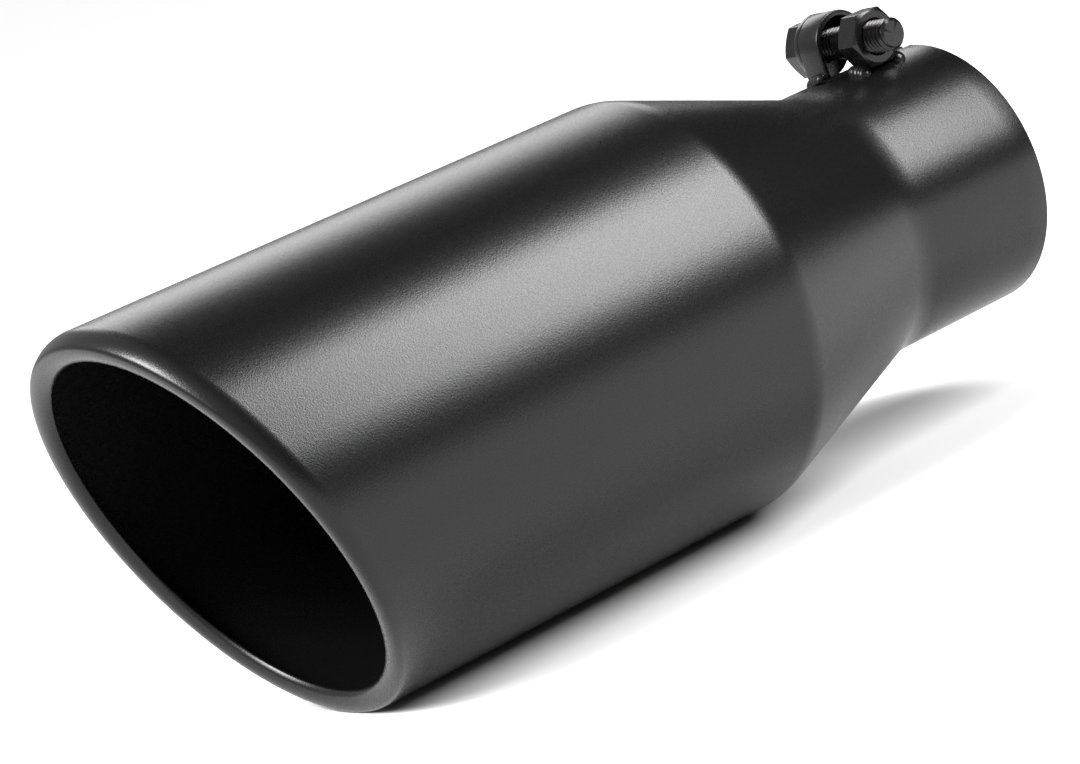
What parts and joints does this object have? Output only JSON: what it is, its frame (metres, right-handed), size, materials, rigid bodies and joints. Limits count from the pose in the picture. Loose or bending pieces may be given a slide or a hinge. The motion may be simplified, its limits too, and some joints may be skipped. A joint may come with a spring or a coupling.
{
  "type": "exhaust tip",
  "caption": "Bolt-on exhaust tip: slant-cut barrel with a rolled edge, a cone, and a slit inlet drawn tight by a cross bolt through a welded lug and nut.",
  "frame": {"origin": "centre of the inlet bore at the inlet's end face", "axes": "+Y along the bore, out of the inlet towards the tailpipe; the mouth faces -Y; +Z through the clamp and the long side of the slant"},
  "size_m": [0.1016, 0.2413, 0.1016],
  "materials": {
    "powder_coat": "satin black powder coat over steel sheet, fine orange peel",
    "black_oxide": "black oxide hardware, slightly glossier than the coat"
  },
  "bodies": {
    "root": {"shell": "powder_coat", "clamp_lug": "powder_coat", "lug_welds": "powder_coat", "weld_nut": "black_oxide", "nut_welds": "powder_coat", "clamp_bolt": "black_oxide", "bolt_washer": "black_oxide"}
  },
  "joints": []
}
